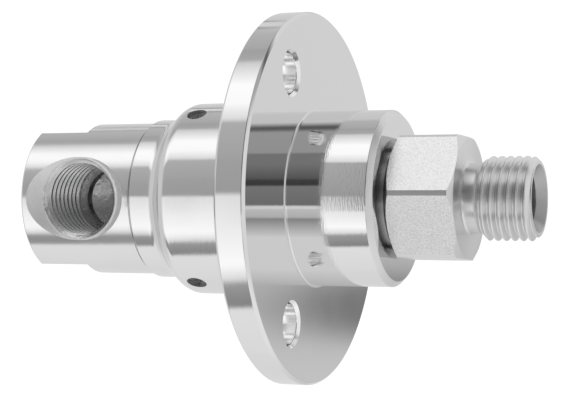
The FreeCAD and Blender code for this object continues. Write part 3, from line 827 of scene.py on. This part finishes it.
@dataclass
class MountingFlange:
    """The bolted flange in one piece with the bearing barrel."""

    radius: float = 30.0
    thickness: float = 5.0
    bevel: float = 0.45
    rim_round: float = 0.08
    barrel: float = 14.05
    barrel_end: float = 13.85
    barrel_bevel: float = 0.85
    barrel_round: float = 0.1
    root: float = 0.35
    mouth: float = 8.0
    bore: float = 12.02
    clip: tuple[float, float] = (-10.0, -9.0)
    clip_bore: float = 12.62
    seal_seat: float = 10.4
    seal_seats: tuple[float, float] = (10.4, 12.4)
    spigot: float = 13.9
    spigot_end: float = -14.4
    oring: tuple[float, float] = (-11.4, -12.8)
    oring_groove: float = 12.9
    rim_skin: float = 0.1
    bolt_circle: float = 22.5
    bolt_hole: float = 3.25
    bolt_bevel: float = 0.5
    bolt_round: float = 0.1
    bolt_count: int = 3
    # The face is polished until it mirrors the barrel.
    face: TurnedSteel = TurnedSteel("mirror_polished_stainless", roughness=0.07, depth=0.0008,
                                    blotch=0.01)
    # Reamed holes mirror what stands round them.
    reamed: GrainedMetal = GrainedMetal("reamed_stainless", colour="#f6f6f6", roughness=0.16,
                                        depth=0.0004, spread=0.02)
    # The rim is turned, with fine marks that fray the edges of light.
    rim: TurnedSteel = TurnedSteel("turned_rim_stainless", roughness=0.08, depth=0.004)
    # The barrel is bright, but its coarse feed frays every edge of light along the axis.
    bright: TurnedSteel = TurnedSteel("bright_turned_stainless", roughness=0.06, depth=0.005,
                                      blotch=0.01)
    # The bevel at the barrel's end is cut with a dull tool.
    dull: TurnedSteel = TurnedSteel("dull_bevel_stainless", roughness=0.35, depth=0.008)

    def blank(self) -> Obj:
        """The flange as it leaves the lathe.

        Returns:
            The piece.
        """
        end = self.barrel_end
        return turned("mounting_flange_body", softened([
            (self.spigot_end, self.bore), *groove(self.clip, self.bore, self.clip_bore),
            (self.seal_seats[0], self.bore), (self.seal_seats[0], self.seal_seat),
            (self.seal_seats[1], self.seal_seat), (self.seal_seats[1], self.mouth),
            (end, self.mouth, self.barrel_round),
            (end, self.barrel - self.barrel_bevel, self.barrel_round),
            (end - self.barrel_bevel, self.barrel, self.barrel_round),
            (0.0, self.barrel, self.root), (0.0, self.radius - self.bevel, self.rim_round),
            (-self.bevel, self.radius, self.rim_round),
            (self.bevel - self.thickness, self.radius, self.rim_round),
            (-self.thickness, self.radius - self.bevel, self.rim_round),
            (-self.thickness, self.spigot),
            *groove(self.oring, self.spigot, self.oring_groove), (self.spigot_end, self.spigot),
        ]), 256)

    def build(self) -> None:
        """Make, drill and dress the flange."""
        flange = self.blank()
        wide, rear = self.bolt_hole + self.bolt_bevel + CLEAR, -self.thickness - CLEAR
        for number in range(self.bolt_count):
            drill = turned("bolt_drill", softened([
                (rear, 0.0), (CLEAR, 0.0), (CLEAR, wide),
                (-self.bolt_bevel, self.bolt_hole, self.bolt_round),
                (self.bolt_bevel - self.thickness, self.bolt_hole, self.bolt_round), (rear, wide),
            ]), 96, paint=1)
            angle = math.radians(180 + 360 / self.bolt_count * number)
            middle = (0, -self.bolt_circle * math.cos(angle), self.bolt_circle * math.sin(angle))
            combine(flange, placed(drill, Matrix.Translation(middle)), Cut.TAKE_AWAY)
        polish(flange)
        paint_where(flange, 2, lambda x, r: r > self.radius - self.rim_skin)
        inside = self.barrel - self.barrel_bevel
        paint_where(flange, 4, lambda x, r: x > self.barrel_end - self.barrel_bevel and r > inside)
        paint_where(flange, 3, lambda x, r: x > self.root and r > inside)
        show(flange, Body.HOUSING, ["mounting_flange"],
             [self.face, self.reamed, self.rim, self.bright, self.dull])


@dataclass
class OutputShaft:
    """The rotating shaft with its nose, journal, hexagon and male thread."""

    nose_end: float = -23.2
    nose: float = 5.5
    nose_start: float = -11.0
    nose_bevel: float = 0.5
    journal: float = 5.98
    clip: tuple[float, float] = (-9.0, -10.0)
    clip_depth: float = 0.6
    hub: float = 7.4
    hub_rear: float = 10.4
    core: float = 7.0
    core_rear: float = 20.0
    bore: float = 4.0
    hex_rear: float = 14.6
    hex_front: float = 25.4
    hex_flat: float = 9.5
    hex_corner: float = 10.74
    hex_bevel: float = 0.72
    hex_round: float = 0.08
    hex_turn: float = 4.5
    neck: float = 5.45
    neck_rounds: tuple[float, float] = (0.5, 0.3)
    thread_rear: float = 27.6
    thread_lead: float = 0.3
    end: float = 36.4
    end_bevel: float = 0.75
    end_round: float = 0.1
    lip: float = 0.55
    cone: float = 1.5
    thread: PipeThread = PipeThread()
    # Turned parts: the thread, the neck, the hexagon's ends and its rounded corners.
    cut: TurnedSteel = TurnedSteel("bright_cut_stainless", roughness=0.3, feed=0.12, depth=0.003)
    # The hexagon's flats come from drawn bar: satin, with fine pits that run a little along the axis.
    drawn: GrainedMetal = GrainedMetal("drawn_bar_stainless", colour="#fafafa", roughness=0.33,
                                       grain=0.2, drawn=1.5, depth=0.05, pitted="#dedede")
    # The seat cone and the bore are drilled and left as they are.
    drilled: TurnedSteel = TurnedSteel("drilled_waterway_stainless", colour="#b8b8b8",
                                       roughness=0.4, feed=0.25, depth=0.015)

    def rod(self) -> Obj:
        """The shaft without its hexagon, with the thread cut.

        Returns:
            The piece.
        """
        crest = self.thread.major
        rod = turned("output_shaft_body", softened([
            (self.nose_end, 0.0), (self.end, 0.0), (self.end, crest - self.end_bevel, self.end_round),
            (self.end - self.end_bevel, crest), (self.thread_rear + crest - self.neck, crest),
            (self.thread_rear, self.neck, self.neck_rounds[1]),
            (self.hex_front, self.neck, self.neck_rounds[0]),
            (self.hex_front, self.core), (self.core_rear, self.core), (self.core_rear, self.hub),
            (self.hub_rear, self.hub), (self.hub_rear, self.journal),
            *groove(self.clip, self.journal, self.journal - self.clip_depth),
            (self.nose_start, self.journal), (self.nose_start, self.nose),
            (self.nose_end + self.nose_bevel, self.nose), (self.nose_end, self.nose - self.nose_bevel),
        ]), 160)
        bar = self.thread.bar("outlet_thread", self.thread_rear - self.thread.pitch / 2,
                              self.end + CLEAR, 128)
        # The rod behind the thread is kept whole by a plain bar that is wider than it.
        keep = turned("behind_the_thread", plain_bar(
            self.nose_end - 2 * CLEAR, self.thread_rear - self.thread_lead, 2 * self.journal), 48)
        combine(bar, keep, Cut.JOIN)
        return combine(rod, bar, Cut.KEEP_SHARED)

    def waterway(self) -> Obj:
        """The bore through the shaft with the seat cone at its mouth.

        Returns:
            A cutting tool.
        """
        mouth = self.thread.major - self.end_bevel - self.lip
        widening = (mouth - self.bore) / self.cone
        rear, front = self.nose_end - CLEAR, self.end + CLEAR
        return turned("shaft_waterway", softened([
            (rear, 0.0), (front, 0.0), (front, mouth + widening * CLEAR),
            (self.end - self.cone, self.bore, self.end_round), (rear, self.bore)]), 128, paint=2)

    def hexagon(self) -> Obj:
        """The hexagon with its corners and ends turned down.

        Returns:
            The piece.
        """
        corner = self.hex_flat / math.cos(math.radians(30))
        bar = turned("hexagon", plain_bar(self.hex_rear - CLEAR, self.hex_front + CLEAR, corner), 6,
                     self.hex_turn, paint=1)
        form = turned("hexagon_form", softened([
            (self.hex_rear, 0.0), (self.hex_front, 0.0),
            (self.hex_front, self.hex_flat, self.hex_round),
            (self.hex_front - self.hex_bevel, self.hex_corner, self.hex_round),
            (self.hex_rear + self.hex_bevel, self.hex_corner, self.hex_round),
            (self.hex_rear, self.hex_flat, self.hex_round)]), 192)
        return combine(bar, form, Cut.KEEP_SHARED)

    def build(self) -> None:
        """Make, join and dress the shaft."""
        shaft = combine(self.rod(), self.hexagon(), Cut.JOIN)
        polish(combine(shaft, self.waterway(), Cut.TAKE_AWAY))
        show(shaft, Body.SHAFT, ["output_shaft"], [self.cut, self.drawn, self.drilled])


@dataclass
class SetScrews:
    """Three cone-point set screws that lock the head in the housing."""

    station: float = -17.8
    head: float = 15.1
    tip: float = 9.48
    radius: float = 1.98
    bevel: float = 0.25
    edge_round: float = 0.05
    socket: float = 1.0
    socket_depth: float = 1.8
    count: int = 3
    # Plain hardened screws: darker than the housing, and mottled.
    finish: GrainedMetal = GrainedMetal("plain_screw_steel", colour="#9a9a9a", roughness=0.4,
                                        grain=0.35, depth=0.03)
    socket_finish: GrainedMetal = GrainedMetal("pressed_socket_steel", colour="#e6e6e6",
                                               roughness=0.45)

    def build(self) -> None:
        """Make and dress the screws."""
        screws = []
        corner = self.socket / math.cos(math.radians(30))
        socket = plain_bar(self.head - self.socket_depth, self.head + CLEAR, corner)
        for number in range(self.count):
            screw = turned("set_screws_body", softened([
                (self.tip, 0.0), (self.head, 0.0),
                (self.head, self.radius - self.bevel, self.edge_round),
                (self.head - self.bevel, self.radius, self.edge_round),
                (self.tip + self.radius, self.radius)]), 64)
            key = turned("socket", socket, 6, paint=1)
            combine(screw, key, Cut.TAKE_AWAY)
            screws.append(placed(screw, screw_place(self.station, number, self.count)))
        whole = bmesh.new()
        for screw in screws:
            whole.from_mesh(screw.data)
            bpy.data.meshes.remove(screw.data)
        piece = polish(new_object("set_screws_body", whole))
        show(piece, Body.HOUSING, ["set_screws"], [self.finish, self.socket_finish])


@dataclass
class InnerWorks:
    """The bearings, rings and seals inside, which keep their solids' meshes."""

    nodes: dict[str, Obj]
    finishes: tuple[tuple[TurnedSteel | GrainedMetal, tuple[str, ...]], ...] = (
        # Races are ground and honed: nearly a mirror, with hair-fine rings.
        (TurnedSteel("ground_bearing_steel", colour="#d6d6d4", roughness=0.08, depth=0.0004,
                     feed=0.05),
         ("front_bearing_outer_ring", "front_bearing_inner_ring", "rear_bearing_outer_ring",
          "rear_bearing_inner_ring")),
        # Balls are lapped to a clean mirror.
        (GrainedMetal("polished_ball_steel", colour="#e0e0de", roughness=0.05, depth=0.0001,
                      spread=0.01),
         ("front_bearing_balls", "rear_bearing_balls")),
        # Pressed sheet is satin and a little warm.
        (GrainedMetal("pressed_cage_sheet", colour="#cbc9c2", roughness=0.28),
         ("front_bearing_cage", "rear_bearing_cage")),
        # Plain turned rings show their feed.
        (TurnedSteel("turned_spacer_steel", colour="#c9c9c7", roughness=0.22, feed=0.18, depth=0.003),
         ("inner_spacer", "outer_spacer", "seal_washer")),
        # Phosphate makes spring steel dark, dull and finely crystalline.
        (GrainedMetal("phosphated_spring_steel", colour="#3c3936", metallic=0.6, roughness=0.5,
                      grain=0.08),
         ("bearing_retaining_ring", "shaft_retaining_ring", "seal_retaining_ring")),
        # Cast polyurethane is blue with a soft gloss.
        (GrainedMetal("cast_polyurethane", colour="#2d4a78", metallic=0.0, roughness=0.38, grain=0.3,
                      depth=0.004),
         ("pressure_seal",)),
        # Sealing plastic is skived from a white bar and waxy.
        (GrainedMetal("white_sealing_plastic", colour="#e9e7df", metallic=0.0, roughness=0.45,
                      grain=0.2),
         ("backup_ring",)),
        # Moulded rubber is nearly black, with a faint bloom.
        (GrainedMetal("nitrile_rubber", colour="#26262a", metallic=0.0, roughness=0.55, grain=0.15,
                      depth=0.004),
         ("seal_energiser", "head_o_ring", "flange_o_ring", "dust_seal")),
    )

    def build(self) -> None:
        """Give every inner piece its finish."""
        for finish, names in self.finishes:
            material = finish.build()
            for name in names:
                node = self.nodes[name]
                node.data.materials.clear()
                node.data.materials.append(material)
                LOG.info("%s keeps its solid's mesh, in %s", name, finish.name)


@dataclass(frozen=True)
class Card:
    """One light or dark card of the studio, as a metal bar along X mirrors it.

    low and high are degrees above -Y, round the bar. shade is the grey from 0 to 255 that a plain
    steel bar shows there, and a card that isn't even runs to another shade at its high end.
    """

    low: float
    high: float
    shade: float
    last: float | None = None


@dataclass
class Studio:
    """Camera, room and floor.

    The left cards light what faces away from the outlet and the right cards what faces towards it.
    The barrel next to the flange shows the right ones, by way of the flange's mirror face. Camera
    sizes are in millimetres, or in the picture's dots where they say so. In the room, an angle is
    above -Y about the X axis and a station is a direction's X, from -1 to 1.
    """

    distance: float = 268.14
    aim: float = -5.645
    turn: float = 21.904
    sensor: float = 36.0
    focal_in_dots: float = 1647.892
    width_in_dots: float = 570.0
    rise_in_dots: float = 1.5
    # Linear grey of plain steel, which the cards' shades allow for.
    steel: float = 0.765
    floor_radius: float = 160.0
    floor_drop: float = 62.0
    # Half the width of the blur between two cards, in degrees.
    left_blur: float = 1.0
    right_blur: float = 0.7
    left: tuple[Card, ...] = (
        Card(-180, -110, 200, 214), Card(-110, -69.5, 216, 222), Card(-69.5, -51.3, 128, 153),
        Card(-51.3, -40, 216, 248), Card(-40, 2.7, 251, 223), Card(2.7, 24, 154, 159),
        Card(24, 47.4, 162, 171), Card(47.4, 58, 218, 243), Card(58, 74, 250, 253),
        Card(74, 91.5, 246, 203), Card(91.5, 103, 166, 158), Card(103, 128, 167, 179),
        Card(128, 130.3, 118), Card(130.3, 139, 212), Card(139, 141.3, 118),
        Card(141.3, 180, 190, 206),
    )
    right: tuple[Card, ...] = (
        Card(-180, -174.8, 177, 171), Card(-174.8, -171, 192), Card(-171, -110, 174, 221),
        Card(-110, -51, 224, 226), Card(-51, -25.5, 219, 141), Card(-25.5, -13.5, 192, 206),
        Card(-13.5, -9.5, 229), Card(-9.5, 16.5, 117, 128), Card(16.5, 25, 60, 68),
        Card(25, 46, 92, 124), Card(46, 61.5, 125), Card(61.5, 98, 160, 163),
        Card(98, 104.5, 150, 100), Card(104.5, 108.5, 94), Card(108.5, 119, 105, 200),
        Card(119, 180, 212, 203),
    )
    # The low left cards don't hang level: they drop towards the inlet.
    tilt: Fade = Fade(-0.5, -0.3, 0.125, -0.125)
    tilted: Fade = Fade(math.radians(-45), math.radians(-20), 1.0, 0.0)
    # The grey card in the middle reaches lower on its outlet side, and is darker there.
    reach: Fade = Fade(-0.35, -0.328, 0.0, math.radians(19))
    reaching: Fade = Fade(math.radians(18), math.radians(38), 1.0, 0.0)
    darker: Fade = Fade(-0.33, -0.28)
    darker_angle: float = math.radians(15.5)
    darker_edge: Fade = Fade(math.radians(30), math.radians(32), 1.0, 0.0)
    darker_shade: float = 104
    # The two thin dark cards overhead end beside the flange, so the barrel shows none.
    beside: Fade = Fade(-0.39, -0.365)
    overhead: Fade = Fade(math.radians(120), math.radians(126))
    overhead_shade: float = 194
    # Something dark stands low behind the union and shows in the flange's lower half.
    dark_place: tuple[float, float, float] = (0.315, 0.9, -0.066)
    dark_size: tuple[float, float, float] = (0.07, 0.6, 0.0235)
    dark_edge: Fade = Fade(0.3, 1.3, 1.0, 0.0)
    dark_shade: float = 113
    # The two walls meet across from the union, and the room's ends are plain, with the inlet's end
    # a little darker than the outlet's.
    meeting: Fade = Fade(-0.05, 0.05)
    ends: Fade = Fade(0.72, 0.86)
    inlet_shade: float = 197
    outlet_shade: float = 212

    def camera(self) -> None:
        """Set the camera where the photograph was taken from."""
        data = bpy.data.cameras.new("camera")
        data.sensor_width = self.sensor
        data.lens = self.focal_in_dots / self.width_in_dots * self.sensor
        data.shift_y = -self.rise_in_dots / self.width_in_dots
        data.clip_start, data.clip_end = 0.01, 10.0
        camera = bpy.data.objects.new("camera", data)
        bpy.context.scene.collection.objects.link(camera)
        turn = math.radians(self.turn)
        camera.location = Vector((self.aim + self.distance * math.sin(turn),
                                  -self.distance * math.cos(turn), 0)) * MM
        camera.rotation_euler = (math.radians(90), 0, turn)
        bpy.context.scene.camera = camera

    def grey(self, shade: float) -> tuple[float, float, float, float]:
        """The light that makes plain steel show a shade."""
        return (decoded(shade / 255) / self.steel,) * 3 + (1.0,)

    def band(self, tree: Tree, angle: Any, cards: Sequence[Card], soft: float) -> Any:
        """A ramp of cards round the X axis.

        Args:
            tree: the world's tree.
            angle: node with the direction's angle in radians.
            cards: the cards from -180 to 180 degrees.
            soft: half the width of the blur between two cards in degrees.

        Returns:
            The ramp's colour socket.
        """
        share = add_node(tree, "ShaderNodeMapRange", Fade(-math.pi, math.pi).of(angle))
        ramp = add_node(tree, "ShaderNodeValToRGB", {0: share})
        ramp.color_ramp.interpolation = "LINEAR"
        stops = ramp.color_ramp.elements
        while len(stops) > 1:
            stops.remove(stops[-1])
        for place, card in enumerate(cards):
            width = min(soft, 0.25 * (card.high - card.low))
            low = card.low + (width if place else 0)
            high = card.high - (width if place < len(cards) - 1 else 0)
            last = card.shade if card.last is None else card.last
            for spot, shade in ((low, card.shade), (high, last)):
                stop = stops[0] if place == 0 and spot == low else stops.new((spot + 180) / 360)
                stop.position = (spot + 180) / 360
                stop.color = self.grey(shade)
        return ramp.outputs["Color"]

    def left_wall(self, tree: Tree, across: Any, angle: Any) -> Any:
        """The cards that light what faces away from the outlet.

        Args:
            tree: the world's tree.
            across: socket with the direction's station.
            angle: node with its angle.

        Returns:
            The wall's colour socket.
        """
        tilt = add_node(tree, "ShaderNodeMapRange", self.tilt.of(across))
        tilted = add_node(tree, "ShaderNodeMapRange", self.tilted.of(angle))
        dropped = add_node(tree, "ShaderNodeMath", {0: tilt, 1: tilted, 2: angle},
                           operation="MULTIPLY_ADD")
        reach = add_node(tree, "ShaderNodeMapRange", self.reach.of(across))
        height = add_node(tree, "ShaderNodeMath", {0: angle}, operation="ABSOLUTE")
        reaching = add_node(tree, "ShaderNodeMapRange", self.reaching.of(height))
        lowered = add_node(tree, "ShaderNodeMath", {0: reach, 1: reaching, 2: dropped},
                           operation="MULTIPLY_ADD")
        above = add_node(tree, "ShaderNodeMath", {0: angle, 1: self.darker_angle},
                         operation="SUBTRACT")
        away = add_node(tree, "ShaderNodeMath", {0: above}, operation="ABSOLUTE")
        on_card = add_node(tree, "ShaderNodeMapRange", self.darker_edge.of(away))
        darker = add_node(tree, "ShaderNodeMapRange", self.darker.of(across))
        overhead = add_node(tree, "ShaderNodeMapRange", self.overhead.of(angle))
        beside = add_node(tree, "ShaderNodeMapRange", self.beside.of(across))
        wall = self.band(tree, lowered, self.left, self.left_blur)
        for one, other, shade in ((darker, on_card, self.darker_shade),
                                  (beside, overhead, self.overhead_shade)):
            both = add_node(tree, "ShaderNodeMath", {0: one, 1: other}, operation="MULTIPLY")
            wall = add_node(tree, "ShaderNodeMix", {0: both, 6: wall, 7: self.grey(shade)},
                            data_type="RGBA").outputs[2]
        return wall

    def right_wall(self, tree: Tree, direction: Any, angle: Any) -> Any:
        """The cards that light what faces towards the outlet.

        Args:
            tree: the world's tree.
            direction: socket with the direction.
            angle: node with its angle.

        Returns:
            The wall's colour socket.
        """
        offset = add_node(tree, "ShaderNodeVectorMath", {0: direction, 1: self.dark_place},
                          operation="SUBTRACT")
        scaled = add_node(tree, "ShaderNodeVectorMath", {0: offset, 1: self.dark_size},
                          operation="DIVIDE")
        near = add_node(tree, "ShaderNodeVectorMath", {0: scaled}, operation="LENGTH")
        dark = add_node(tree, "ShaderNodeMapRange", self.dark_edge.of(near.outputs["Value"]),
                        interpolation_type="SMOOTHSTEP")
        wall = self.band(tree, angle, self.right, self.right_blur)
        return add_node(tree, "ShaderNodeMix", {0: dark, 6: wall, 7: self.grey(self.dark_shade)},
                        data_type="RGBA").outputs[2]

    def room(self) -> None:
        """Light the scene with cards round the union, and keep the backdrop white."""
        world = bpy.data.worlds.new("studio")
        world.use_nodes = True
        bpy.context.scene.world = world
        tree = world.node_tree
        tree.nodes.clear()
        direction = add_node(tree, "ShaderNodeTexCoord").outputs["Generated"]
        parts = add_node(tree, "ShaderNodeSeparateXYZ", {0: direction})
        across = parts.outputs["X"]
        angle = angle_about_x(tree, parts)
        side = add_node(tree, "ShaderNodeMapRange", self.meeting.of(across),
                        interpolation_type="SMOOTHSTEP")
        walls = add_node(tree, "ShaderNodeMix", {
            0: side, 6: self.left_wall(tree, across, angle), 7: self.right_wall(tree, direction, angle)},
            data_type="RGBA")
        far = add_node(tree, "ShaderNodeMath", {0: across}, operation="ABSOLUTE")
        end = add_node(tree, "ShaderNodeMapRange", self.ends.of(far), interpolation_type="SMOOTHSTEP")
        plain = add_node(tree, "ShaderNodeMix", {
            0: side, 6: self.grey(self.inlet_shade), 7: self.grey(self.outlet_shade)}, data_type="RGBA")
        whole = add_node(tree, "ShaderNodeMix", {0: end, 6: walls.outputs[2], 7: plain.outputs[2]},
                         data_type="RGBA")
        seen = add_node(tree, "ShaderNodeLightPath")
        cards = add_node(tree, "ShaderNodeBackground", {"Color": whole.outputs[2]})
        backdrop = add_node(tree, "ShaderNodeBackground", {"Color": (1.0, 1.0, 1.0, 1.0),
                                                           "Strength": 1.05})
        mix = add_node(tree, "ShaderNodeMixShader", {
            0: seen.outputs["Is Camera Ray"], 1: cards, 2: backdrop})
        add_node(tree, "ShaderNodeOutputWorld", {"Surface": mix})

    def floor(self) -> None:
        """A plain pale floor below the union."""
        build = bmesh.new()
        bmesh.ops.create_circle(build, cap_ends=True, segments=96, radius=self.floor_radius * MM,
                                matrix=Matrix.Translation((0, 0, -self.floor_drop * MM)))
        floor = new_object("floor", build)
        paint = bpy.data.materials.new("pale_floor")
        paint.use_nodes = True
        shader = paint.node_tree.nodes["Principled BSDF"]
        shader.inputs["Base Color"].default_value = linear("#f4f4f2")
        shader.inputs["Roughness"].default_value = 0.6
        floor.data.materials.clear()
        floor.data.materials.append(paint)
        floor.visible_glossy = False

    def build(self) -> None:
        """Set up the camera, the room and the floor, with plain colours."""
        view = bpy.context.scene.view_settings
        view.view_transform = "Standard"
        view.look = "None"
        self.camera()
        self.room()
        self.floor()


def main() -> None:
    """Build the studio and every piece."""
    logging.basicConfig(level=logging.INFO, format="%(message)s")
    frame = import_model()
    Studio().build()
    InletHead().build()
    SealHousing().build()
    MountingFlange().build()
    OutputShaft().build()
    SetScrews().build()
    InnerWorks(frame["nodes"]).build()


if __name__ == "__main__":
    main()
